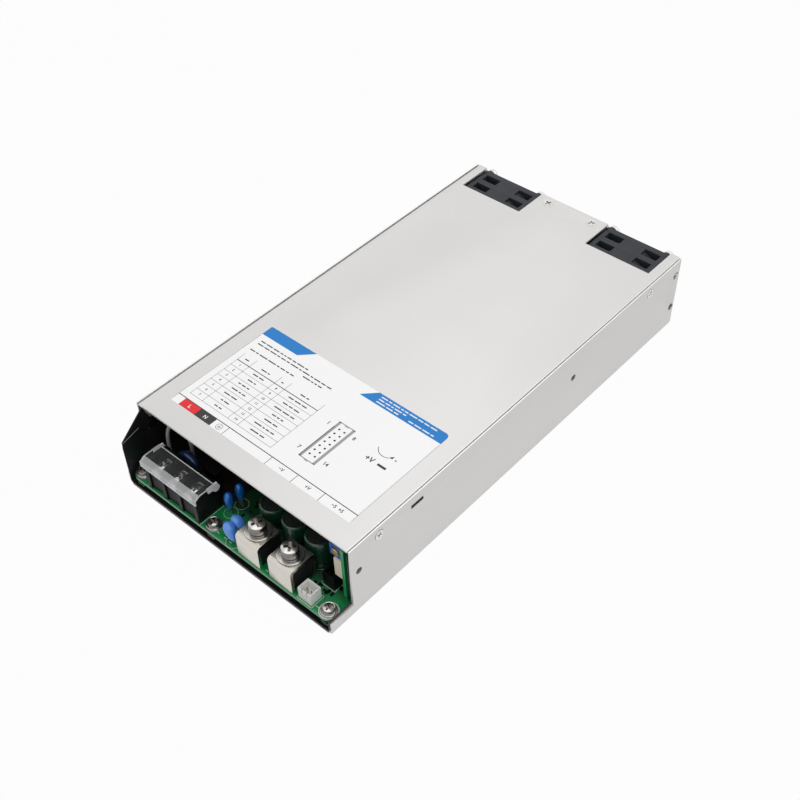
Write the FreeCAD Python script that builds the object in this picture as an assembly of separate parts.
import FreeCAD
import Part
import math
import os
from FreeCAD import Placement, Rotation, Vector

# Enclosed switching power supply, in millimetres.
# The origin is the centre of the base underside: +Y runs to the fans, +X to the outputs, +Z up.

# Case
case_length = 248.0
case_width = 127.0
case_height = 41.0
sheet = 1.2
bend_inside = 1.0
front_bay = 13.0
lip_height = 6.8
cover_sheet = 1.0
cover_gap = 0.1
cover_flange = 9.0
cover_flange_relief = 4.0
cover_bend = 0.8
rear_flange_fan_gap = 0.9
rear_flange_depth = 9.0

# Holes in the case
base_hole_radius = 1.65
base_hole_inset = 14.0
base_hole_front = 44.0
base_hole_rear = 44.0
side_hole_radius = 1.65
side_hole_height = 25.5
side_hole_front = 17.6
side_hole_pitch = 143.0
rear_hole_radius = 2.0
rear_hole_inset = 3.9
rear_hole_low = 13.1
rear_hole_pitch = 19.6
side_slot_front = 49.1
side_slot_length = 7.5
side_slot_width = 1.2
side_slot_drop = 5.3

# Cover screws
cover_screw_radius = 1.5
cover_screw_head = 2.8
cover_screw_reach = 1.2
screw_play = 0.06
side_screw_drop = 5.0
side_screw_front = 30.2
side_screw_rear = 26.6
top_screw_fan_gap = 6.5
top_screw_inset = 4.6

# Printed label on the cover
label_thickness = 0.12
label_width = 107.0
label_length = 61.5
label_setback = 11.0
label_corner = 3.0

# Insulation sheet
film = 0.4
film_flange_gap = 2.0
film_front_height = 8.0
film_right_gap = 2.0
film_play = 0.1
ear_front_height = 27.2
ear_crease_front = 22.5
ear_crease_drop = 1.0
ear_lean = 8.0
ear_top_gap = 0.5
film_hole_play = 1.4

# Main board
standoff_height = 3.8
standoff_across_flats = 5.5
board_thickness = 1.6
board_edge_gap = 0.5
board_setback = 0.7
board_corner = 4.0
board_fan_gap = 2.0
board_screw_radius = 1.25
board_screw_head = 2.8
board_screw_head_height = 2.0
board_washer_radius = 3.5
board_washer = 0.6
board_hole_radius = 1.7
board_screw_inset = 4.0
board_screw_setback = 4.9
board_screw_rear = 6.0
mid_screw_share = 0.073

# AC terminal block
poles = 3
pole_pitch = 10.4
rib = 2.1
block_left = 12.7
block_setback = 1.1
block_depth = 13.4
block_floor = 9.4
block_recess = 0.8
block_height = 16.6
block_rear_wall = 2.0
block_rear_height = 14.6
rib_nose = 15.2
clamp_thickness = 1.2
clamp_side_gap = 0.35
terminal_screw_setback = 7.4
terminal_screw_radius = 1.75
terminal_screw_head = 3.2
terminal_screw_head_height = 2.7
terminal_screw_depth = 7.0
terminal_hole_play = 0.1

# Clear flap over the terminal block
flap_wall = 0.8
flap_gap = 0.3
flap_chamfer = 2.6
flap_lip = 4.6
flap_lug = 1.0
flap_lug_radius = 1.9
flap_pin_radius = 0.8
flap_pin_play = 0.15
flap_pin_length = 1.4
hinge_rise = 14.4
hinge_setback = 12.4

# Output brackets and their screws
bracket_width = 13.2
bracket_wall = 1.5
bracket_bend = 2.0
bracket_height = 13.4
bracket_depth = 14.4
bracket_setback = 1.0
bracket_pitch = 19.0
bracket_right = 28.3
output_screw_radius = 2.0
output_screw_head = 3.9
output_screw_head_height = 3.4
output_screw_length = 10.0
flat_washer_radius = 5.9
flat_washer = 1.0
spring_washer_radius = 3.7
spring_washer = 1.3
spring_washer_split = 0.8
washer_play = 0.2
nut_across_flats = 7.0
nut_height = 3.2

# Sense socket and signal header
sense_width = 7.3
sense_depth = 6.2
sense_height = 6.4
sense_wall = 0.7
sense_floor = 1.6
sense_right = 15.4
sense_setback = 1.8
sense_pitch = 2.5
pin_width = 0.64
sense_pin_rise = 3.4
header_pins = 7
header_pitch = 2.0
header_width = 6.4
header_wall = 0.9
header_height = 7.6
header_floor = 2.0
header_pin_rise = 4.6
header_right = 13.2
header_front = 13.5

# Control board and adjuster
control_thickness = 1.6
control_right = 3.4
control_front = 14.0
control_length = 50.0
control_top_gap = 3.0
chip_width = 7.0
chip_length = 9.0
chip_thickness = 1.8
ivory_width = 4.2
ivory_depth = 3.4
ivory_gap = 0.4
ivory_rise = 11.4
adjuster_width = 6.6
adjuster_depth = 4.8
adjuster_height = 6.8
adjuster_top_gap = 1.0
adjuster_front = 0.6
rotor_radius = 1.9
rotor_depth = 1.6
rotor_proud = 0.5
rotor_play = 0.3
rotor_slot = 0.6
rotor_slot_depth = 0.7

# Line filter
dip_radius = 2.4
dip_height = 11.0
dip_lift = 2.2
dip_lead = 0.3
dip_lead_spread = 1.8
suppression_share = 0.23
suppression_front = 14.0
suppression_pitch = 6.5
suppression_lean = 0.4
bypass_share = 0.186
bypass_lean_share = 0.105
bypass_front = 3.6
bypass_pitch = 6.2
bypass_height = 8.8
fuse_left = 21.4
fuse_front = 21.0
fuse_width = 8.4
fuse_depth = 4.2
fuse_height = 8.0
varistor_left = 8.6
varistor_front = 18.4
varistor_lift = 0.5
varistor_radius = 6.4
varistor_thickness = 4.4
choke_left = 9.0
choke_front = 30.0
choke_top_gap = 2.65
choke_bore = 6.6
choke_depth = 10.0
winding_wall = 2.2
winding_gap = 0.35
winding_sweep = 130.0
film_cap_left = 9.0
film_cap_front = 52.0
turned_cap_left = 31.0
turned_cap_front = 41.0
film_cap_width = 26.0
film_cap_depth = 10.0
film_cap_height = 20.0
relay_left = 28.0
relay_front = 65.0
relay_width = 13.0
relay_length = 28.0
relay_height = 16.0
wire_radius = 0.9
wire_front = 19.0
wire_outside = 6.0
wire_inside = 3.0
wire_depth = 6.0
wire_shoulder = 13.0
wire_crown = 26.0
wire_crown_share = 0.4
wire_drop = 16.0
bend_share = 0.45

# Power stages
sink_wall_gap = 5.0
primary_front = 78.0
secondary_front = 80.0
sink_web = 3.0
sink_fin = 1.4
sink_fins = 5
sink_depth = 11.0
sink_length = 72.0
sink_height = 27.0
bridge_inset = 2.0
bridge_length = 30.0
bridge_height = 20.0
bridge_thickness = 4.6
package_width = 15.6
package_height = 20.0
package_thickness = 4.8
package_gap = 5.0
package_lift = 4.0
package_leg = 1.2
package_leg_overlap = 0.5
boost_front = 96.0
boost_right = 2.0
boost_side_gap = 5.3
boost_sweep = 320.0
boost_start = 20.0
boost_bore = 7.5
boost_height = 20.0
bulk_count = 3
bulk_left = 23.0
bulk_rear = 22.8
bulk_radius = 12.5
bulk_top_gap = 4.4
bulk_pitch = 27.0
transformer_front = 134.0
bobbin_left = 3.5
bobbin_side_gap = 1.0
bobbin_reach = 2.0
bobbin_foot = 3.0
bobbin_arm = 8.0
core_lift = 2.0
core_length = 40.0
core_top_gap = 3.4
core_leg = 7.0
core_centre = 12.0
core_plate = 6.5
output_choke_front = 76.0
output_choke_left = 8.0
output_choke_side_gap = 1.5
output_choke_length = 30.0
output_choke_height = 18.0
output_cap_right = 26.2
output_cap_front = 22.4
output_cap_radius = 6.25
output_cap_height = 15.0
output_cap_pitch = 13.4
output_cap_row = 14.0
can_edge = 0.8

# Fans
fan_depth = 20.0
fan_side_gap = 4.4
fan_floor_gap = 0.1
fan_top_gap = 0.3
fan_corner = 2.0
fan_bore_wall = 1.4
fan_flange = 2.2
fan_mid_rib = 1.4
fan_side_wall = 1.6
fan_pocket_start = 4.0
fan_hole_pitch = 32.0
notch_cover = 0.6
aperture_wall = 1.0
strut_width = 2.4
strut_depth = 2.6
strut_overlap = 0.5
boss_radius = 9.0
bearing_tube = 3.0
shaft_radius = 1.0
shaft_play = 0.15
stator_radius = 6.6
hub_radius = 9.2
hub_wall = 1.2
hub_clear = 0.6
blade_count = 7
blade_tip_gap = 0.5
blade_thickness = 1.0
blade_chord = 11.0
blade_pitch_root = 50.0
blade_pitch_tip = 32.0
guard_thickness = 1.0
guard_ring = 1.3
guard_slot = 4.6
guard_rings = 2
guard_spoke = 2.4
fan_screw_head = 2.9
fan_screw_head_height = 2.4
plug_width = 7.4
plug_depth = 5.6
plug_height = 6.6
lead_radius = 1.0
lead_rise = 13.0

# Flats round small repeated pieces, and flat steps along twists and bends
screw_sides = 8
washer_sides = 16
ring_sides = 18
bore_sides = 24
wire_sides = 6
bend_steps = 3
blade_steps = 3

# Worked out from the sizes above
front = -case_length / 2
rear = case_length / 2
half = case_width / 2
inner = half - sheet
cover_front = front + front_bay
cover_base = case_height - cover_sheet
film_top = sheet + film
board_base = sheet + standoff_height
deck = board_base + board_thickness
lining = inner - film
fan_size = cover_base - film_top - fan_floor_gap - fan_top_gap
fan_z = film_top + fan_floor_gap + fan_size / 2
fan_rear = rear - sheet
fan_front = fan_rear - fan_depth
fan_centre = inner - fan_side_gap - fan_size / 2
fan_sides = (-fan_centre, fan_centre)
fan_inner = fan_centre - fan_size / 2
board_front = front + board_setback
board_rear = fan_front - board_fan_gap
board_half = lining - board_edge_gap
film_side_height = case_height - cover_flange - film_flange_gap
film_right_height = cover_base - film_right_gap
ear_crease_rear = film_side_height - ear_crease_drop
control_x = inner - control_right - control_thickness
control_height = cover_base - control_top_gap - deck
adjuster_rise = control_height - adjuster_top_gap - adjuster_height
choke_radius = (cover_base - choke_top_gap - deck - winding_gap) / 2 - winding_wall
sink_face = inner - sink_wall_gap - sink_depth
stage_half = sink_face - package_thickness
boost_radius = (stage_half - boost_side_gap - winding_wall + boost_right) / 2
bobbin_side = bobbin_reach + bobbin_foot / 2
core_width = stage_half - bobbin_side_gap - bobbin_left - 2 * bobbin_side
core_height = cover_base - core_top_gap - deck - core_lift
bulk_height = cover_base - bulk_top_gap - deck
output_choke_width = stage_half - output_choke_side_gap - output_choke_left
X = Vector(1, 0, 0)
Y = Vector(0, 1, 0)
Z = Vector(0, 0, 1)


def box(x0, x1, y0, y1, z0, z1):
    """Box between two corners."""
    return Part.makeBox(x1 - x0, y1 - y0, z1 - z0, Vector(x0, y0, z0))


def block(x, y, z, width, depth, height):
    """Box that stands on z with its middle at x, y."""
    return box(x - width / 2, x + width / 2, y - depth / 2, y + depth / 2, z, z + height)


def rod(radius, start, end):
    """Cylinder from one point to another."""
    line = Vector(*end) - Vector(*start)
    return Part.makeCylinder(radius, line.Length, Vector(*start), line)


def prism(points, length):
    """Closed outline of points in space, pushed along a vector."""
    corners = [Vector(*p) for p in points]
    face = Part.Face(Part.makePolygon(corners + corners[:1]))
    return face.extrude(Vector(*length))


def turned(profile, at, axis, sides=None):
    """Outline of (radius, height) points turned round an axis, smooth or with flat sides."""
    if sides:
        ends = [(0, profile[0][1])] + profile + [(0, profile[-1][1])]
        return flat_sided([ends], at, axis, 360.0, 0.0, sides)
    corners = [Vector(r, 0, h) for r, h in [(0, profile[0][1])] + profile + [(0, profile[-1][1])]]
    face = Part.Face(Part.makePolygon(corners + corners[:1]))
    return placed(face.revolve(Vector(0, 0, 0), Z, 360), at, axis)


def placed(shape, at, axis):
    """Shape moved from the origin to a point, with its Z turned to an axis."""
    shape.Placement = Placement(Vector(*at), Rotation(Z, Vector(*axis)))
    return shape


def flat_sided(loops, at, axis, sweep, start, sides):
    """Closed (radius, height) loops, the first round the others, carried round an axis in flat steps."""
    whole = sweep > 359.9
    turns = [math.radians(start + sweep * i / sides) for i in range(sides + 1)]
    if whole:
        turns[-1] = turns[0]
    faces = []
    for loop in loops:
        for (r0, h0), (r1, h1) in zip(loop, loop[1:] + loop[:1]):
            if r0 + r1 == 0:
                continue
            for a, b in zip(turns, turns[1:]):
                if r0 * r1 > 0 or not near(h0, h1):
                    faces.append(flat([spun(r0, h0, a), spun(r1, h1, a), spun(r1, h1, b), spun(r0, h0, b)]))
            if r0 * r1 == 0 and near(h0, h1):
                faces.append(flat([spun(max(r0, r1), h0, a) for a in turns[:-1]]))
    if not whole:
        for turn in (turns[0], turns[-1]):
            cap = flat([spun(r, h, turn) for r, h in loops[0]])
            for loop in loops[1:]:
                cap = cap.cut(flat([spun(r, h, turn) for r, h in loop])).Faces[0]
            faces.append(cap)
    solid = Part.makeSolid(Part.makeShell(faces))
    if solid.Volume < 0:
        solid.reverse()
    return placed(solid.removeSplitter(), at, axis)


def spun(radius, height, turn):
    """Point at a radius, height and angle round Z."""
    return Vector(radius * math.cos(turn), radius * math.sin(turn), height)


def flat(corners):
    """Flat face through corners, without any that repeat."""
    kept = [p for i, p in enumerate(corners) if not p.isEqual(corners[i - 1], 1e-6)]
    return Part.Face(Part.makePolygon(kept + kept[:1]))


def skinned(rings):
    """Closed solid through rings of equally many corners, with flat sides between them."""
    faces = [flat(rings[0]), flat(rings[-1])]
    for low, high in zip(rings, rings[1:]):
        for i in range(len(low)):
            faces.append(flat([low[i - 1], low[i], high[i]]))
            faces.append(flat([low[i - 1], high[i], high[i - 1]]))
    solid = Part.makeSolid(Part.makeShell(faces))
    if solid.Volume < 0:
        solid.reverse()
    return solid.removeSplitter()


def sided_rod(radius, start, end, sides):
    """Flat-sided rod from one point to another."""
    line = Vector(*end) - Vector(*start)
    return turned([(radius, 0), (radius, line.Length)], start, line, sides)


def along(shape, axis, test=None):
    """Straight edges of a shape that run along an axis, and pass a test of their middle."""
    found = []
    for edge in shape.Edges:
        if edge.Curve.TypeId != "Part::GeomLine":
            continue
        way = edge.tangentAt(edge.FirstParameter)
        if abs(way.dot(axis)) > 0.999 and (test is None or test(edge.CenterOfMass)):
            found.append(edge)
    return found


def rounded(shape, radius, axis, test=None):
    """Shape with its edges along an axis rounded."""
    return shape.makeFillet(radius, along(shape, axis, test))


def group(solids):
    """Separate solids that share a node."""
    return Part.makeCompound(list(solids))


def joined(solids):
    """One solid out of several that meet."""
    first, *rest = solids
    return first.multiFuse(rest).removeSplitter()


def near(a, b):
    """Two lengths that agree."""
    return abs(a - b) < 0.01


# Places that several pieces share
def base_holes():
    """Middles of the base mounting holes."""
    x = half - base_hole_inset
    return [(s * x, y) for s in (-1, 1) for y in (front + base_hole_front, rear - base_hole_rear)]


def side_holes():
    """Places along Y of the side mounting holes."""
    first = front + side_hole_front
    return [first, first + side_hole_pitch]


def side_screws():
    """Side, place along Y and height of the cover's side screws."""
    z = case_height - side_screw_drop
    return [(s, y, z) for s in (-1, 1) for y in (front + side_screw_front, rear - side_screw_rear)]


def top_screws():
    """Middles of the cover's two rear screws."""
    return [(s * (fan_inner - top_screw_fan_gap), rear - top_screw_inset) for s in (-1, 1)]


def board_screw_places():
    """Middles of the board's screws and standoffs."""
    edge = board_half - board_screw_inset
    first = front + board_screw_setback
    last = board_rear - board_screw_rear
    middle = terminal_right() + board_washer_radius + mid_screw_share * front_gap()
    return [(-edge, first), (middle, first), (edge, first), (-edge, last), (edge, last)]


def front_gap():
    """Width between the terminal block and the first output bracket."""
    return bracket_places()[0] - bracket_width / 2 - terminal_right()


def fan_holes(x):
    """Corner screw places of one fan."""
    reach = fan_hole_pitch / 2
    return [(x + i * reach, fan_z + j * reach) for i in (-1, 1) for j in (-1, 1)]


def terminal_left():
    """Left face of the terminal block."""
    return -inner + block_left


def terminal_right():
    """Right face of the terminal block."""
    return terminal_left() + poles * pole_pitch + rib


def pole_places():
    """Middles of the terminal block's poles."""
    first = terminal_left() + rib / 2 + pole_pitch / 2
    return [first + i * pole_pitch for i in range(poles)]


def bracket_places():
    """Middles of the output brackets."""
    last = inner - bracket_right
    return [last - bracket_pitch, last]


# Sheet metal
def chassis():
    """Folded tray with its mounting holes, fan openings and rear screw flange."""
    bend_outside = bend_inside + sheet
    shell = box(-half, half, front + film, rear, 0, case_height)
    shell = rounded(shell, bend_outside, Y, lambda p: near(p.z, 0))
    shell = shell.makeFillet(bend_outside, along(shell, X, lambda p: near(p.z, 0) and near(p.y, rear)))
    hollow = box(-inner, inner, front - 1, rear - sheet, sheet, case_height + 1)
    hollow = rounded(hollow, bend_inside, Y, lambda p: near(p.z, sheet))
    tray = shell.cut(hollow)
    tray = tray.cut(box(-half - 1, half + 1, front - 1, cover_front, lip_height, case_height + 1))
    tray = tray.cut(box(-inner, inner, rear - sheet - 1, rear + 1, cover_base, case_height + 1))
    reach = fan_inner - rear_flange_fan_gap
    flange_front = rear - sheet - rear_flange_depth
    flange = box(-reach, reach, flange_front, rear - sheet / 2, cover_base - sheet, cover_base)
    return joined([tray, flange]).cut(group(chassis_cuts()))


def chassis_cuts():
    """Everything that is punched through the tray."""
    cuts = [rod(base_hole_radius, (x, y, -1), (x, y, case_height / 4)) for x, y in base_holes()]
    slot_z = case_height - side_slot_drop
    slot_y = front + side_slot_front
    for side in (-1, 1):
        wall = (side * (inner - 0.5), side * (half + 0.5))
        z = side_hole_height
        cuts += [rod(side_hole_radius, (wall[0], y, z), (wall[1], y, z)) for y in side_holes()]
        for z in (rear_hole_low, rear_hole_low + rear_hole_pitch):
            y = rear - rear_hole_inset
            cuts.append(sided_rod(rear_hole_radius, (wall[0], y, z), (wall[1], y, z), washer_sides))
        low, high = slot_z - side_slot_width / 2, slot_z + side_slot_width / 2
        cuts.append(box(min(wall), max(wall), slot_y, slot_y + side_slot_length, low, high))
    for side, y, z in side_screws():
        cuts.append(countersink((side * half, y, z), (-side, 0, 0), sheet))
    for x, y in top_screws():
        hole = cover_screw_radius + screw_play
        cuts.append(sided_rod(hole, (x, y, cover_base - 2 * sheet), (x, y, case_height), screw_sides))
    for x in fan_sides:
        opening = fan_size / 2 - fan_bore_wall
        ends = (x, rear - sheet - 1, fan_z), (x, rear + 1, fan_z)
        cuts.append(sided_rod(opening - aperture_wall, *ends, bore_sides))
    bend = bend_inside + sheet
    cuts += [box(x - bend, x + bend, rear - bend, rear + 1, -1, bend) for x in (-half, half)]
    return cuts


def countersink(at, axis, depth):
    """Cone and through hole for a flat-headed screw that enters along an axis."""
    hole = cover_screw_radius + screw_play
    mouth = cover_screw_head + screw_play
    profile = [(mouth, -1), (mouth, 0), (hole, depth), (hole, depth + 1)]
    return turned(profile, at, axis, screw_sides)


def flat_screw(at, axis, depth):
    """Flat-headed screw seated in its countersink."""
    length = sheet + cover_gap + cover_sheet + cover_screw_reach
    profile = [(cover_screw_head, 0), (cover_screw_radius, depth), (cover_screw_radius, length)]
    return turned(profile, at, axis, screw_sides)


def top_cover():
    """Flat cover with turned-down flanges, fan notches and screw holes."""
    edge = inner - cover_gap
    plate = box(-edge, edge, cover_front, rear, cover_base, case_height)
    low = case_height - cover_flange
    ends = (cover_front + cover_flange_relief, rear - sheet - fan_top_gap)
    lip = edge - cover_sheet
    flanges = [box(-edge, -lip, *ends, low, case_height), box(lip, edge, *ends, low, case_height)]
    cover = joined([plate] + flanges)
    cover = rounded(cover, cover_bend, Y, lambda p: near(p.z, case_height) and near(abs(p.x), edge))
    width = fan_size / 2 - notch_cover
    cuts = [box(x - width, x + width, fan_front + sheet, rear + 1, low, case_height + 1) for x in fan_sides]
    cuts += [countersink((x, y, case_height), (0, 0, -1), cover_sheet) for x, y in top_screws()]
    hole = cover_screw_radius + screw_play
    for side, y, z in side_screws():
        inside = side * (edge - 2 * cover_sheet)
        cuts.append(sided_rod(hole, (side * inner, y, z), (inside, y, z), screw_sides))
    return cover.cut(group(cuts))


def rating_label():
    """Thin label on the cover."""
    near_edge = cover_front + label_setback
    reach = label_width / 2
    ends = (near_edge, near_edge + label_length)
    paper = box(-reach, reach, *ends, case_height, case_height + label_thickness)
    return rounded(paper, label_corner, Z)


def cover_top_screws():
    """Two screws through the cover into the rear flange."""
    return group(flat_screw((x, y, case_height), (0, 0, -1), cover_sheet) for x, y in top_screws())


def cover_side_screws():
    """Four screws through the side walls into the cover's flanges."""
    return group(flat_screw((s * half, y, z), (-s, 0, 0), sheet) for s, y, z in side_screws())


# Insulation sheet
def insulation_sheet():
    """Folded sheet: floor, side panels, front apron and the creased barrier beside the terminals."""
    edge = inner - film_play
    back = fan_rear - film_play
    fold = bend_inside
    low = sheet + fold
    solids = [box(-edge + fold, edge - fold, front, back, sheet, film_top)]
    solids.append(box(-edge + fold, edge - fold, front, front + film, film_play, film_top))
    slant = film * math.tan(math.radians(22.5))
    for s in (-1, 1):
        strip = [(s * edge, low), (s * (edge - fold), sheet), (s * (edge - fold - slant), film_top),
                 (s * (edge - film), low + slant)]
        solids.append(prism([(x, front, z) for x, z in strip], (0, board_rear - front, 0)))
    relief = cover_front + cover_flange_relief - film_play
    right = [(front, low), (front, film_front_height), (cover_front, film_front_height),
             (cover_front, film_right_height), (relief, film_right_height), (relief, film_side_height),
             (board_rear, film_side_height), (board_rear, low)]
    solids.append(prism([(edge, y, z) for y, z in right], (-film, 0, 0)))
    left = [(front, low), (front, ear_crease_front), (relief, ear_crease_rear),
            (relief, film_side_height - film), (board_rear, film_side_height - film), (board_rear, low)]
    solids.append(prism([(-edge, y, z) for y, z in left], (film, 0, 0)))
    solids.append(barrier_corner(edge, relief))
    return joined(solids).cut(group(film_cuts()))


def barrier_corner(edge, relief):
    """Upper corner of the left barrier, leaning inwards from its crease."""
    crease = Vector(0, relief - front, ear_crease_rear - ear_crease_front)
    top = cover_base - ear_top_gap
    outline = [(front, ear_crease_front), (front, ear_front_height), (cover_front - ear_top_gap, top),
               (cover_front, top), (relief, ear_crease_rear + film)]
    outline.append((relief, ear_crease_rear))
    corner = prism([(-edge, y, z) for y, z in outline], (film, 0, 0))
    corner.rotate(Vector(-edge, front, ear_crease_front), crease, ear_lean)
    return corner


def film_cuts():
    """Clearance holes in the sheet for standoffs and mounting screws."""
    across = standoff_across_flats + film_hole_play
    cuts = [hexagon(x, y, sheet / 2, across, deck) for x, y in board_screw_places()]
    hole = base_hole_radius + film_hole_play
    cuts += [sided_rod(hole, (x, y, sheet / 2), (x, y, deck), screw_sides) for x, y in base_holes()]
    for side in (-1, 1):
        for y in side_holes():
            ends = (side * (inner - 2), y, side_hole_height), (side * half, y, side_hole_height)
            cuts.append(sided_rod(side_hole_radius + film_hole_play, *ends, screw_sides))
    return cuts


def hexagon(x, y, z, across_flats, height):
    """Upright hexagonal bar."""
    corner = across_flats / math.sqrt(3)
    turns = [math.radians(60 * i) for i in range(6)]
    return prism([(x + corner * math.cos(t), y + corner * math.sin(t), z) for t in turns], (0, 0, height))


# Main board
def main_board():
    """Printed board with rounded front corners and screw holes."""
    plate = box(-board_half, board_half, board_front, board_rear, board_base, deck)
    plate = rounded(plate, board_corner, Z, lambda p: near(p.y, board_front))
    holes = [sided_rod(board_hole_radius, (x, y, 0), (x, y, deck + 1), screw_sides)
             for x, y in board_screw_places()]
    return plate.cut(group(holes))


def board_standoffs():
    """Hexagonal posts on the base that carry the board."""
    across = standoff_across_flats
    return group(hexagon(x, y, sheet, across, standoff_height) for x, y in board_screw_places())


def board_screws():
    """Pan-headed screws with captive washers."""
    top = board_washer + board_screw_head_height
    profile = [(board_screw_radius, -board_thickness), (board_screw_radius, 0), (board_washer_radius, 0),
               (board_washer_radius, board_washer), (board_screw_head, board_washer),
               (board_screw_head * 0.8, top)]
    return group(turned(profile, (x, y, deck), (0, 0, 1), screw_sides) for x, y in board_screw_places())


# AC terminal block
def terminal_outline(front_y):
    """Side outline of a barrier rib, from its foot to its nose and hinge ear."""
    back = front_y + block_depth
    return [(front_y, deck), (front_y, deck + rib_nose), (front_y + flap_chamfer, deck + block_height),
            (back - 3.4, deck + block_height), (back, deck + hinge_rise + flap_pin_radius), (back, deck)]


def ac_terminal_body():
    """Moulded barrier block: ribs, recessed front faces, floor and rear wall."""
    face = front + block_setback
    back = face + block_depth
    left, right = terminal_left(), terminal_right()
    floor_z = deck + block_floor
    solids = [box(left, right, face + block_recess, back, deck, floor_z)]
    solids.append(box(left, right, back - block_rear_wall, back, deck, deck + block_rear_height))
    for i in range(poles + 1):
        x = left + i * pole_pitch
        solids.append(prism([(x, y, z) for y, z in terminal_outline(face)], (rib, 0, 0)))
    body = joined(solids)
    foot = floor_z - terminal_screw_depth
    hole = terminal_screw_radius + terminal_hole_play
    y = front + terminal_screw_setback
    cuts = [sided_rod(hole, (x, y, foot), (x, y, floor_z + 1), screw_sides) for x in pole_places()]
    pin_hole = flap_pin_radius + flap_pin_play
    at_y, at_z = front + hinge_setback, deck + hinge_rise
    for x, way in ((left, 1), (right, -1)):
        end = x + way * (flap_pin_length + flap_pin_play)
        cuts.append(sided_rod(pin_hole, (x - way, at_y, at_z), (end, at_y, at_z), washer_sides))
    return body.cut(group(cuts))


def ac_terminal_clamps():
    """Plated clamp plates, one on the floor of each bay."""
    width = pole_pitch - rib - 2 * clamp_side_gap
    low = deck + block_floor
    near_y = front + block_setback + block_recess
    far_y = front + block_setback + block_depth - block_rear_wall - clamp_side_gap
    y = front + terminal_screw_setback
    hole = terminal_screw_radius + terminal_hole_play
    plates = []
    for x in pole_places():
        plate = box(x - width / 2, x + width / 2, near_y, far_y, low, low + clamp_thickness)
        punch = sided_rod(hole, (x, y, low - 1), (x, y, low + 2 * clamp_thickness), screw_sides)
        plates.append(plate.cut(punch))
    return group(plates)


def ac_terminal_screws():
    """Pan-headed terminal screws."""
    seat = deck + block_floor + clamp_thickness
    reach = terminal_screw_depth + clamp_thickness - terminal_hole_play
    head, top = terminal_screw_head, terminal_screw_head_height
    profile = [(terminal_screw_radius, -reach), (terminal_screw_radius, 0), (head, 0), (head, top * 0.6),
               (head * 0.7, top)]
    y = front + terminal_screw_setback
    return group(turned(profile, (x, y, seat), (0, 0, 1), screw_sides) for x in pole_places())


def ac_terminal_cover():
    """Clear flap with a sloped nose, a front lip, and pinned lugs at its rear corners."""
    face = front + block_setback - flap_gap
    top = deck + block_height + flap_gap
    nose = deck + rib_nose + flap_gap
    back = front + hinge_setback - flap_pin_radius
    slope = face + flap_chamfer
    inside = [(back, top), (slope, top), (face, nose), (face, top - flap_lip + flap_wall)]
    outside = [(face - flap_wall, inside[-1][1]), (face - flap_wall, nose + flap_wall / 2),
               (slope - flap_wall / 2, top + flap_wall), (back, top + flap_wall)]
    left, right = terminal_left() - flap_gap - flap_lug, terminal_right() + flap_gap + flap_lug
    solids = [prism([(left, y, z) for y, z in inside + outside], (right - left, 0, 0))]
    at_y, at_z = front + hinge_setback, deck + hinge_rise
    for x, way in ((left, 1), (right, -1)):
        arm = box(min(x, x + way * flap_lug), max(x, x + way * flap_lug), back - 2 * flap_lug_radius,
                  at_y + flap_lug_radius / 2, at_z, top + flap_wall / 2)
        eye = sided_rod(flap_lug_radius, (x, at_y, at_z), (x + way * flap_lug, at_y, at_z), washer_sides)
        reach = flap_lug + flap_gap + flap_pin_length
        pin = sided_rod(flap_pin_radius, (x, at_y, at_z), (x + way * reach, at_y, at_z), washer_sides)
        solids += [arm, eye, pin]
    return joined(solids)


# Output terminals
def output_bracket(x):
    """Plated strip folded to an upside-down U, with a hole for the output screw."""
    face = front + bracket_setback
    back = face + bracket_depth
    top = deck + bracket_height
    strip = block(x, (face + back) / 2, deck, bracket_width, bracket_depth, bracket_height)
    strip = rounded(strip, bracket_bend, X, lambda p: near(p.z, top))
    wall = bracket_wall
    hollow = box(x - bracket_width, x + bracket_width, face + wall, back - wall, deck - 1, top - wall)
    hollow = rounded(hollow, bracket_bend - wall / 2, X, lambda p: near(p.z, top - wall))
    y = output_screw_y()
    hole = sided_rod(output_screw_radius + washer_play, (x, y, deck), (x, y, top + 1), washer_sides)
    return strip.cut(hollow).cut(hole)


def output_screw_y():
    """Place along Y of the output screws."""
    return front + bracket_setback + bracket_depth / 2


def output_flat_washers():
    """Flat washers on the brackets."""
    low = deck + bracket_height
    y = output_screw_y()
    hole = output_screw_radius + washer_play
    return group(washer(flat_washer_radius, hole, flat_washer, (x, y, low)) for x in bracket_places())


def washer(outside, inside, height, at):
    """Flat-sided ring that lies on a point."""
    loop = [(inside, 0), (outside, 0), (outside, height), (inside, height)]
    return flat_sided([loop], at, (0, 0, 1), 360.0, 0.0, washer_sides)


def output_spring_washers():
    """Split spring washers on the flat ones."""
    reach = spring_washer_radius
    low = deck + bracket_height + flat_washer
    y = output_screw_y()
    hole = output_screw_radius + washer_play
    rings = []
    for x in bracket_places():
        ring = washer(reach, hole, spring_washer, (x, y, low))
        split = block(x, y - reach, low, spring_washer_split, reach, spring_washer)
        rings.append(ring.cut(split))
    return group(rings)


def output_screws():
    """Pan-headed output screws, down through the washers and the captive nuts."""
    seat = deck + bracket_height + flat_washer + spring_washer
    head, top = output_screw_head, output_screw_head_height
    profile = [(output_screw_radius, -output_screw_length), (output_screw_radius, 0), (head, 0),
               (head, top * 0.6), (head * 0.85, top * 0.9), (head * 0.55, top)]
    y = output_screw_y()
    return group(turned(profile, (x, y, seat), (0, 0, 1), washer_sides) for x in bracket_places())


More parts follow.
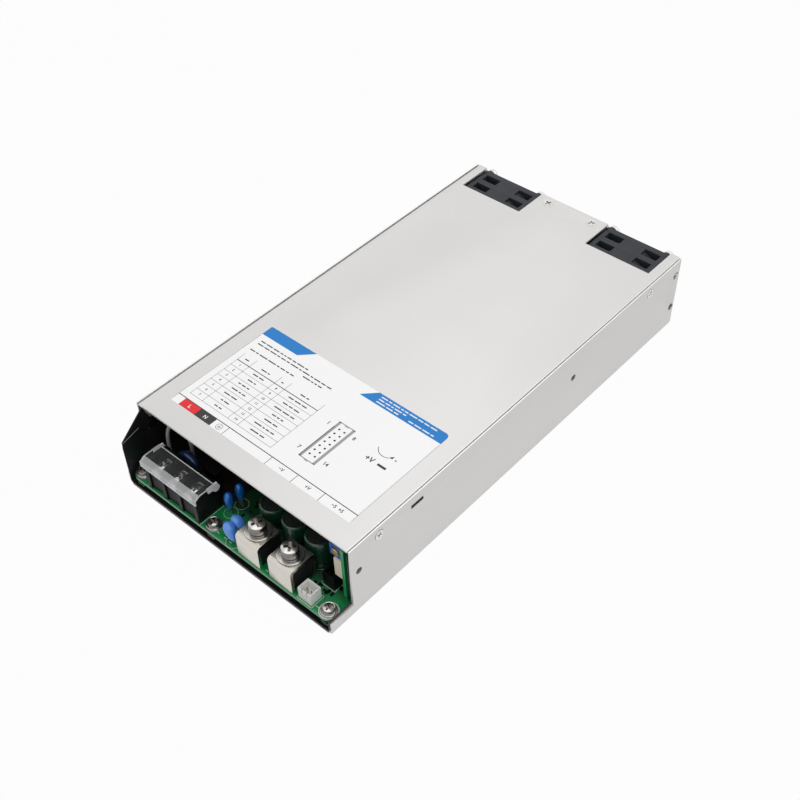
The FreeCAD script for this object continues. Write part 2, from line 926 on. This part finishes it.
def output_nuts():
    """Hexagon nuts under the brackets."""
    top = deck + bracket_height - bracket_wall
    y = output_screw_y()
    hole = output_screw_radius + screw_play
    nuts = []
    for x in bracket_places():
        nut = hexagon(x, y, top - nut_height, nut_across_flats, nut_height)
        nuts.append(nut.cut(sided_rod(hole, (x, y, deck), (x, y, top + 1), washer_sides)))
    return group(nuts)


# Sense socket and signal header
def sense_middle():
    """Middle of the sense socket on the board."""
    return inner - sense_right, front + sense_setback + sense_depth / 2


def sense_socket():
    """Two-pole socket, open at the top, with slots in its front wall."""
    x, y = sense_middle()
    shell = block(x, y, deck, sense_width, sense_depth, sense_height)
    wide, deep = sense_width - 2 * sense_wall, sense_depth - 2 * sense_wall
    shell = shell.cut(block(x, y, deck + sense_floor, wide, deep, sense_height))
    near_y = y - sense_depth / 2
    slots = [block(px, near_y, deck + 2 * sense_floor, sense_wall, 3 * sense_wall, sense_height)
             for px, py in sense_pin_xy()]
    return shell.cut(group(slots))


def square_pins(places, low, length):
    """Square pins at places on the board."""
    return [block(x, y, low, pin_width, pin_width, length) for x, y in places]


def sense_pin_xy():
    """Middles of the sense pins."""
    x, y = sense_middle()
    return [(x + side * sense_pitch / 2, y) for side in (-1, 1)]


def sense_pins():
    """Two square pins in the sense socket."""
    return group(square_pins(sense_pin_xy(), deck + sense_floor, sense_pin_rise))


def header_pin_xy():
    """Middles of the signal pins, in two rows."""
    x = inner - header_right
    first = front + header_front + header_wall + header_pitch / 2
    return [(x + side * header_pitch / 2, first + i * header_pitch)
            for side in (-1, 1) for i in range(header_pins)]


def signal_header():
    """Two-row box header, open at the top, with a key slot."""
    x = inner - header_right
    length = header_pins * header_pitch + 2 * header_wall
    near_y = front + header_front
    y = near_y + length / 2
    shell = block(x, y, deck, header_width, length, header_height)
    wide, deep = header_width - 2 * header_wall, length - 2 * header_wall
    shell = shell.cut(block(x, y, deck + header_floor, wide, deep, header_height))
    side = x - header_width / 2
    return shell.cut(block(side, y, deck + header_floor, 4 * header_wall, 2 * header_pitch, header_height))


def signal_pins():
    """Square pins of the signal header."""
    return group(square_pins(header_pin_xy(), deck + header_floor, header_pin_rise))


# Control board and adjuster
def control_board():
    """Upright board beside the right wall."""
    near_y = front + control_front
    ends = (near_y, near_y + control_length)
    return box(control_x, control_x + control_thickness, *ends, deck, deck + control_height)


def control_connector():
    """Ivory connector at the front of the control board, under the adjuster."""
    near_y = front + control_front
    low, high = deck + ivory_rise, deck + adjuster_rise - ivory_gap
    return box(control_x - ivory_width, control_x, near_y, near_y + ivory_depth, low, high)


def control_chips():
    """Chips on the control board's inner face."""
    first = front + control_front + control_length / 3
    low = deck + control_height / 2
    return group(box(control_x - chip_thickness, control_x, y, y + chip_length, low, low + chip_width)
                 for y in (first, first + 1.2 * chip_length, first + 2.4 * chip_length))


def adjuster_axis():
    """Middle of the adjuster's front face."""
    x = control_x - adjuster_width / 2
    return x, front + control_front + adjuster_front, deck + adjuster_rise + adjuster_height / 2


def adjuster_body():
    """Square adjuster body with a round seat for its rotor."""
    x, y, z = adjuster_axis()
    low = z - adjuster_height / 2
    body = block(x, y + adjuster_depth / 2, low, adjuster_width, adjuster_depth, adjuster_height)
    seat = rotor_radius + rotor_play
    return body.cut(sided_rod(seat, (x, y - 1, z), (x, y + rotor_depth + rotor_play, z), washer_sides))


def adjuster_rotor():
    """Slotted rotor that a small screwdriver turns."""
    x, y, z = adjuster_axis()
    disc = sided_rod(rotor_radius, (x, y - rotor_proud, z), (x, y + rotor_depth, z), washer_sides)
    slot = block(x, y - rotor_proud, z - rotor_slot / 2, 4 * rotor_radius, 2 * rotor_slot_depth, rotor_slot)
    return disc.cut(slot)


# Line filter
def dipped(x, y, lean, height):
    """Dipped capacitor: a drop-shaped body on two leads, leaning by a distance along X at its top."""
    low = deck + dip_lift
    r = dip_radius
    profile = [(0.4 * r, 0), (0.72 * r, 0.25 * height), (r, 0.62 * height), (0.85 * r, 0.88 * height),
               (0.4 * r, height)]
    body = turned(profile, (x, y, low), (lean, 0, height), screw_sides)
    thick = 2 * dip_lead
    reach = dip_lead_spread / 2
    leads = [block(x + s * reach, y, deck, thick, thick, dip_lift + 0.3 * height) for s in (-1, 1)]
    return joined([body] + leads)


def suppression_capacitors():
    """Two deep-blue dipped capacitors beside the terminal block."""
    x = terminal_right() + suppression_share * front_gap()
    first = front + suppression_front
    return group(dipped(x, first + i * suppression_pitch, suppression_lean, dip_height) for i in range(2))


def bypass_capacitors():
    """Two light-blue dipped capacitors, leaning beside the first output bracket."""
    x = bracket_places()[0] - bracket_width / 2 - bypass_share * front_gap()
    first = front + bypass_front
    lean = -bypass_lean_share * front_gap()
    return group(dipped(x, first + i * bypass_pitch, lean, bypass_height) for i in range(2))


def fuse_place():
    """Foot of the upright fuse."""
    return terminal_left() + fuse_left, front + fuse_front


def input_fuse():
    """Moulded box fuse on two legs."""
    x, y = fuse_place()
    low = deck + dip_lift
    body = block(x, y, low, fuse_width, fuse_depth, fuse_height)
    thick = 2 * dip_lead
    legs = [block(x + s * fuse_width / 4, y, deck, thick, thick, dip_lift + thick) for s in (-1, 1)]
    return joined([body] + legs)


def surge_varistor():
    """Dipped varistor disc behind the terminal block."""
    x, y = terminal_left() + varistor_left, front + varistor_front
    z = deck + varistor_lift + varistor_radius
    r, t = varistor_radius, varistor_thickness / 2
    profile = [(0.7 * r, -t), (r, -0.4 * t), (r, 0.4 * t), (0.7 * r, t)]
    disc = turned(profile, (x, y, z), (0, 1, 0), washer_sides)
    thick = 2 * dip_lead
    legs = [block(x + s * r / 2, y, deck, thick, thick, z - r / 2 - deck) for s in (-1, 1)]
    return joined([disc] + legs)


def ring_core(radius, bore, height, at, axis):
    """Ring core."""
    loop = [(bore, 0), (radius, 0), (radius, height), (bore, height)]
    return flat_sided([loop], at, axis, 360.0, 0.0, ring_sides)


def ring_winding(radius, bore, height, at, axis, sweep, start):
    """Sector of a winding that wraps a ring core on all four sides."""
    loops = []
    for wall in (winding_wall, winding_gap):
        big, small = radius + wall, bore - wall
        loops.append([(small, -wall), (big, -wall), (big, height + wall), (small, height + wall)])
    steps = round(ring_sides * sweep / 360.0)
    return flat_sided(loops, at, axis, sweep, start, steps)


def choke_at():
    """Front centre of the input choke's standing ring core."""
    z = deck + winding_wall + winding_gap + choke_radius
    return terminal_left() + choke_left, front + choke_front, z


def input_choke_core():
    """Standing ring core of the common-mode choke."""
    return ring_core(choke_radius, choke_bore, choke_depth, choke_at(), (0, 1, 0))


def input_choke_windings():
    """The choke's two windings, one on each half of the core."""
    starts = (90 - winding_sweep / 2, 270 - winding_sweep / 2)
    size = (choke_radius, choke_bore, choke_depth)
    return group(ring_winding(*size, choke_at(), (0, 1, 0), winding_sweep, start) for start in starts)


def x_capacitors():
    """Two boxed line-filter capacitors."""
    left = terminal_left()
    width, depth = film_cap_width, film_cap_depth
    across = block(left + film_cap_left, front + film_cap_front, deck, width, depth, film_cap_height)
    lengthwise = block(left + turned_cap_left, front + turned_cap_front, deck, depth, width, film_cap_height)
    return group([across, lengthwise])


def inrush_relay():
    """Boxed relay that bridges the inrush limiter."""
    x, y = terminal_left() + relay_left, front + relay_front
    return block(x, y, deck, relay_length, relay_width, relay_height)


def jumper_wire():
    """Grey-sleeved wire loop beside the terminal block."""
    x0, y0 = terminal_left() - wire_outside, front + wire_front
    x1, y1 = terminal_left() + wire_inside, y0 + wire_depth
    crown = (x0 + wire_crown_share * (x1 - x0), y0 + wire_crown_share * (y1 - y0), deck + wire_crown)
    rise = [(x0, y0, deck), (x0, y0, deck + wire_shoulder)]
    return bent_wire(rise + [crown, (x1, y1, deck + wire_drop), (x1, y1, deck)], wire_radius)


def bent_wire(points, radius):
    """Wire along straight runs whose bends are worked in short flat steps."""
    line = bent_line([Vector(*p) for p in points])
    ways = [(b - a).normalize() for a, b in zip(line, line[1:])]
    turns = [2 * math.pi * i / wire_sides for i in range(wire_sides)]
    turn = Rotation(Z, ways[0])
    rings = [[line[0] + turn.multVec(spun(radius, 0, t)) for t in turns]]
    for at, way, after in zip(line[1:], ways, ways[1:] + ways[-1:]):
        mitre = way + after
        rings.append([p + way * ((at - p).dot(mitre) / way.dot(mitre)) for p in rings[-1]])
    return skinned(rings)


def bent_line(corners):
    """Points of a line through corners, each corner turned into an arc's few chords."""
    line = corners[:1]
    for before, at, after in zip(corners, corners[1:], corners[2:]):
        back, ahead = before - at, after - at
        leg = bend_share * min(back.Length, ahead.Length)
        back.normalize()
        ahead.normalize()
        half_angle = back.getAngle(ahead) / 2
        bend = leg * math.tan(half_angle)
        centre = at + (back + ahead).normalize() * (leg / math.cos(half_angle))
        first = at + back * leg - centre
        sweep = math.pi - 2 * half_angle
        for i in range(bend_steps + 1):
            turn = sweep * i / bend_steps
            line.append(centre + first * math.cos(turn) - back * (bend * math.sin(turn)))
    return line + corners[-1:]


# Power stages
def heatsink(x, y, way):
    """Finned extrusion: a web with fins towards the nearer wall."""
    middle = y + sink_length / 2
    solids = [block(x + way * sink_web / 2, middle, deck, sink_web, sink_length, sink_height)]
    pitch = (sink_height - sink_fin) / (sink_fins - 1)
    for i in range(sink_fins):
        z = deck + i * pitch
        solids.append(block(x + way * sink_depth / 2, middle, z, sink_depth, sink_length, sink_fin))
    return joined(solids)


def primary_at():
    """Inner face and front end of the primary heatsink."""
    return -sink_face, front + primary_front


def secondary_at():
    """Inner face and front end of the secondary heatsink."""
    return sink_face, front + secondary_front


def primary_heatsink():
    """Heatsink beside the left wall."""
    return heatsink(*primary_at(), -1)


def secondary_heatsink():
    """Heatsink beside the right wall."""
    return heatsink(*secondary_at(), 1)


def package(x, y, way):
    """Power package against a heatsink's face, on three legs."""
    tip = x + way * package_thickness
    low = deck + package_lift
    body = box(min(x, tip), max(x, tip), y, y + package_width, low, low + package_height)
    middle = x + way * package_thickness / 2
    return joined([body] + [package_pin(middle, y + package_width * (i + 1) / 4) for i in range(3)])


def package_pin(x, y):
    """One leg under a power package."""
    return block(x, y, deck, package_leg, package_leg, package_lift + package_leg_overlap)


def bridge_rectifier():
    """Rectifier block against the primary heatsink."""
    x, y = primary_at()
    low = deck + package_lift
    first = y + bridge_inset
    body = box(x, x + bridge_thickness, first, first + bridge_length, low, low + bridge_height)
    middle = x + bridge_thickness / 2
    return joined([body] + [package_pin(middle, first + bridge_length * (i + 1 / 2) / 4) for i in range(4)])


def primary_transistors():
    """Two switching packages on the primary heatsink."""
    x, y = primary_at()
    first = y + bridge_inset + bridge_length + package_gap / 2
    return group(package(x, first + i * (package_width + package_gap / 2), 1) for i in range(2))


def secondary_transistors():
    """Three rectifier packages on the secondary heatsink."""
    x, y = secondary_at()
    return group(package(x, y + package_gap + i * (package_width + package_gap), -1) for i in range(3))


def boost_at():
    """Foot of the boost inductor's ring."""
    return boost_right - boost_radius, front + boost_front, deck + winding_wall + winding_gap


def boost_inductor_core():
    """Flat ring core of the boost inductor."""
    return ring_core(boost_radius, boost_bore, boost_height, boost_at(), (0, 0, 1))


def boost_inductor_winding():
    """Winding round most of the boost core."""
    size = (boost_radius, boost_bore, boost_height)
    return ring_winding(*size, boost_at(), (0, 0, 1), boost_sweep, boost_start)


def can(x, y, radius, height):
    """Electrolytic can with a chamfered top."""
    profile = [(radius, 0), (radius, height - can_edge), (radius - can_edge, height)]
    return turned(profile, (x, y, deck), (0, 0, 1), ring_sides)


def bulk_capacitors():
    """Three tall cans that hold the boosted supply."""
    first = -inner + bulk_left
    y = board_rear - bulk_rear
    return group(can(first + i * bulk_pitch, y, bulk_radius, bulk_height) for i in range(bulk_count))


def output_capacitors():
    """Row of output cans behind the brackets, with two more behind them."""
    last, y = inner - output_cap_right, front + output_cap_front
    places = [(last - i * output_cap_pitch, y) for i in range(3)]
    places += [(last - (i + 1 / 2) * output_cap_pitch, y + output_cap_row) for i in range(2)]
    return group(can(*place, output_cap_radius, output_cap_height) for place in places)


def transformer_at():
    """Middle of the transformer on the board."""
    return bobbin_left + bobbin_side + core_width / 2, front + transformer_front


def transformer_core():
    """Paired E cores: two plates joined by a round centre leg and two outer legs."""
    x, y = transformer_at()
    low = deck + core_lift
    high = low + core_height
    near_y, far_y = y - core_length / 2, y + core_length / 2
    solids = [box(x - core_width / 2, x + core_width / 2, near_y, far_y, low, low + core_plate)]
    solids.append(box(x - core_width / 2, x + core_width / 2, near_y, far_y, high - core_plate, high))
    solids.append(sided_rod(core_centre / 2, (x, y, low), (x, y, high), ring_sides))
    for edge in (near_y, far_y - core_leg):
        solids.append(box(x - core_width / 2, x + core_width / 2, edge, edge + core_leg, low, high))
    return joined(solids)


def transformer_winding():
    """Bobbin and winding round the centre leg, on the bobbin's feet."""
    x, y = transformer_at()
    low = deck + core_lift + core_plate
    high = low + core_height - 2 * core_plate
    outside = core_length / 2 - core_leg - winding_gap
    bore = core_centre / 2 + 2 * winding_gap
    depth = high - low - 2 * winding_gap
    loop = [(bore, 0), (outside, 0), (outside, depth), (bore, depth)]
    ring = flat_sided([loop], (x, y, low + winding_gap), (0, 0, 1), 360.0, 0.0, ring_sides)
    feet = []
    for side in (-1, 1):
        reach = core_width / 2 + bobbin_reach
        foot = block(x + side * reach, y, deck, bobbin_foot, core_length / 2, low + bobbin_reach - deck)
        arm_z, arm_height = low + winding_gap, bobbin_reach - winding_gap
        arm = block(x + side * reach / 2, y, arm_z, reach, bobbin_arm, arm_height)
        feet += [foot, arm.cut(sided_rod(bore, (x, y, low), (x, y, high), ring_sides))]
    return joined([ring] + feet)


def output_choke_at():
    """Middle of the output choke on the board."""
    return output_choke_left + output_choke_width / 2, front + output_choke_front


def output_choke_core():
    """Ferrite frame of the output choke, open at its ends."""
    x, y = output_choke_at()
    body = block(x, y, deck, output_choke_width, output_choke_length, output_choke_height)
    width, height = output_choke_width - 2 * core_plate, output_choke_height - core_plate
    return body.cut(block(x, y, deck + core_plate / 2, width, 2 * output_choke_length, height))


def output_choke_winding():
    """Flat-wire winding that shows at both ends of the choke."""
    x, y = output_choke_at()
    width = output_choke_width - 2 * core_plate - 2 * winding_gap
    height = output_choke_height - core_plate - 2 * winding_gap
    length = output_choke_length + 2 * winding_wall
    return block(x, y, deck + core_plate / 2 + winding_gap, width, length, height)


# Fans
def fan_frame(x):
    """Moulded fan frame: bore, pockets in its top and bottom, struts, boss and bearing tube."""
    reach = fan_size / 2
    body = box(x - reach, x + reach, fan_front, fan_rear, fan_z - reach, fan_z + reach)
    body = body.makeChamfer(fan_corner, along(body, Y))
    bore = reach - fan_bore_wall
    cuts = [sided_rod(bore, (x, fan_front - 1, fan_z), (x, fan_rear + 1, fan_z), bore_sides)]
    cuts += fan_pockets(x, reach)
    body = body.cut(group(cuts))
    low, high = fan_rear - strut_depth, fan_rear
    hub = sided_rod(boss_radius, (x, low, fan_z), (x, high, fan_z), ring_sides)
    span = bore + strut_overlap
    bar = box(x - span, x + span, low, high, fan_z - strut_width / 2, fan_z + strut_width / 2)
    bars = []
    for turn in (45, 135):
        strut = bar.copy()
        strut.rotate(Vector(x, 0, fan_z), Y, turn)
        bars.append(strut)
    post = sided_rod(bearing_tube, (x, bearing_front(), fan_z), (x, high, fan_z), screw_sides)
    frame = joined([body, hub, post] + bars)
    bearing = (shaft_radius + shaft_play) / math.cos(math.pi / screw_sides)
    ends = (x, bearing_front() - 1, fan_z), (x, fan_rear - 1, fan_z)
    return frame.cut(sided_rod(bearing, *ends, screw_sides))


def bearing_front():
    """Front end of the bearing."""
    return fan_front + 2 * hub_wall + 2 * hub_clear


def fan_pockets(x, reach):
    """Pockets between the flanges and the middle rib, beside the round of the bore."""
    middle = (fan_front + fan_rear) / 2
    depth = fan_depth / 2 - fan_flange - fan_mid_rib / 2
    side = reach - fan_side_wall
    across = (fan_pocket_start, reach / math.sqrt(2), side)
    floor_line = [(u, math.sqrt(reach ** 2 - u ** 2)) for u in across]
    outline = [(fan_pocket_start, reach + 1)] + floor_line + [(side, reach + 1)]
    pockets = []
    for low in (fan_front + fan_flange, middle + fan_mid_rib / 2):
        for i, j in ((-1, -1), (-1, 1), (1, -1), (1, 1)):
            pockets.append(prism([(x + i * u, low, fan_z + j * v) for u, v in outline], (0, depth, 0)))
    return pockets


def fan_rotor(x):
    """Rotor: a cup-shaped hub with its shaft and twisted blades."""
    nose = fan_front + hub_wall
    depth = fan_rear - strut_depth - hub_clear - nose
    inside = hub_radius - hub_wall
    loop = [(0, 0), (hub_radius, 0), (hub_radius, depth), (inside, depth), (inside, hub_wall), (0, hub_wall)]
    cup = flat_sided([loop], (x, nose, fan_z), (0, 1, 0), 360.0, 0.0, 2 * blade_count)
    ends = (x, nose + hub_wall / 2, fan_z), (x, fan_rear - 1 - hub_clear, fan_z)
    shaft = sided_rod(shaft_radius, *ends, screw_sides)
    blades = []
    for i in range(blade_count):
        blade = fan_blade(nose + depth / 2)
        blade.rotate(Vector(0, 0, 0), Y, 360.0 * i / blade_count)
        blade.translate(Vector(x, 0, fan_z))
        blades.append(blade)
    return joined([cup, shaft] + blades)


def fan_blade(y):
    """One blade, twisted from a steep root to a flatter tip."""
    root = hub_radius - hub_wall
    chord, thick = blade_chord / 2, blade_thickness / 2
    pitch = math.radians(blade_pitch_tip)
    spread = chord * math.cos(pitch) + thick * math.sin(pitch)
    sweep = (fan_size / 2 - fan_bore_wall) * math.cos(math.pi / bore_sides) - blade_tip_gap
    tip = math.sqrt(sweep ** 2 - spread ** 2)
    rings = []
    for i in range(blade_steps + 1):
        share = i / blade_steps
        pitch = math.radians(blade_pitch_root + share * (blade_pitch_tip - blade_pitch_root))
        radius = root + share * (tip - root)
        ring = []
        for u, v in ((-chord, -thick), (chord, -thick), (chord, thick), (-chord, thick)):
            along_y = u * math.sin(pitch) + v * math.cos(pitch)
            round_z = u * math.cos(pitch) - v * math.sin(pitch)
            ring.append(Vector(radius, y + along_y, round_z))
        rings.append(ring)
    return skinned(rings)


def fan_stators():
    """Wound stators on the bearing tubes, inside the rotors' hubs."""
    height = fan_rear - strut_depth - bearing_front() - hub_wall
    bore = bearing_tube / math.cos(math.pi / screw_sides) + shaft_play
    loop = [(bore, 0), (stator_radius, 0), (stator_radius, height), (bore, height)]
    at_y = bearing_front() + hub_wall
    return group(flat_sided([loop], (x, at_y, fan_z), (0, 1, 0), 360.0, 0.0, screw_sides) for x in fan_sides)


def fan_guard(x):
    """Stamped guard: rings on two crossed spokes that end under the screws."""
    solids = []
    outside = fan_size / 2 - fan_bore_wall
    for i in range(guard_rings):
        big = outside - i * (guard_ring + guard_slot)
        small = big - guard_ring
        loop = [(small, 0), (big, 0), (big, guard_thickness), (small, guard_thickness)]
        solids.append(flat_sided([loop], (x, rear, fan_z), (0, 1, 0), 360.0, 0.0, ring_sides))
    reach = fan_hole_pitch / math.sqrt(2)
    middle = rear + guard_thickness / 2
    bar = block(x, middle, fan_z - guard_spoke / 2, 2 * reach, guard_thickness, guard_spoke)
    for turn in (45, 135):
        spoke = bar.copy()
        spoke.rotate(Vector(x, 0, fan_z), Y, turn)
        solids.append(spoke)
    return joined(solids)


def fan_guards():
    """Guards behind both fans."""
    return group(fan_guard(x) for x in fan_sides)


def fan_screws():
    """Pan-headed screws that hold guard, wall and fan frame together."""
    head, top = fan_screw_head, fan_screw_head_height
    profile = [(head, 0), (head, top * 0.6), (head * 0.7, top)]
    places = [place for x in fan_sides for place in fan_holes(x)]
    at = rear + guard_thickness
    return group(turned(profile, (sx, at, sz), (0, 1, 0), screw_sides) for sx, sz in places)


def plug_places():
    """Middles of the fan plugs on the board."""
    reach = fan_centre - fan_size / 4
    return [(s * reach, board_rear - plug_depth) for s in (-1, 1)]


def fan_plugs():
    """Two small plugs near the rear edge of the board."""
    return group(block(x, y, deck, plug_width, plug_depth, plug_height) for x, y in plug_places())


def fan_leads():
    """Sleeved leads from the fan frames to their plugs."""
    leads = []
    for x, y in plug_places():
        top = deck + plug_height
        points = [(x, fan_front, top + lead_rise), (x, y, top + lead_rise), (x, y, top)]
        leads.append(bent_wire(points, lead_radius))
    return group(leads)


def write(name, shape):
    """Save one node."""
    shape.exportStep(os.path.join("parts", name + ".step"))


NODES = [
    chassis, top_cover, rating_label, cover_top_screws, cover_side_screws, insulation_sheet, main_board,
    board_standoffs, board_screws, ac_terminal_body, ac_terminal_clamps, ac_terminal_screws,
    ac_terminal_cover, output_flat_washers, output_spring_washers, output_screws, output_nuts,
    sense_socket, sense_pins, signal_header, signal_pins, control_board, control_connector,
    control_chips, adjuster_body, adjuster_rotor, suppression_capacitors, bypass_capacitors, input_fuse,
    surge_varistor, input_choke_core, input_choke_windings, x_capacitors, inrush_relay, jumper_wire,
    primary_heatsink, secondary_heatsink, bridge_rectifier, primary_transistors, secondary_transistors,
    boost_inductor_core, boost_inductor_winding, bulk_capacitors, output_capacitors, transformer_core,
    transformer_winding, output_choke_core, output_choke_winding, fan_stators, fan_guards, fan_screws,
    fan_plugs, fan_leads,
]

os.makedirs("parts", exist_ok=True)
for node in NODES:
    write(node.__name__, node())
for name, place in zip(("negative", "positive"), bracket_places()):
    write("output_bracket_" + name, output_bracket(place))
for name, place in zip(("left", "right"), fan_sides):
    write("fan_frame_" + name, fan_frame(place))
    write("fan_rotor_" + name, fan_rotor(place))
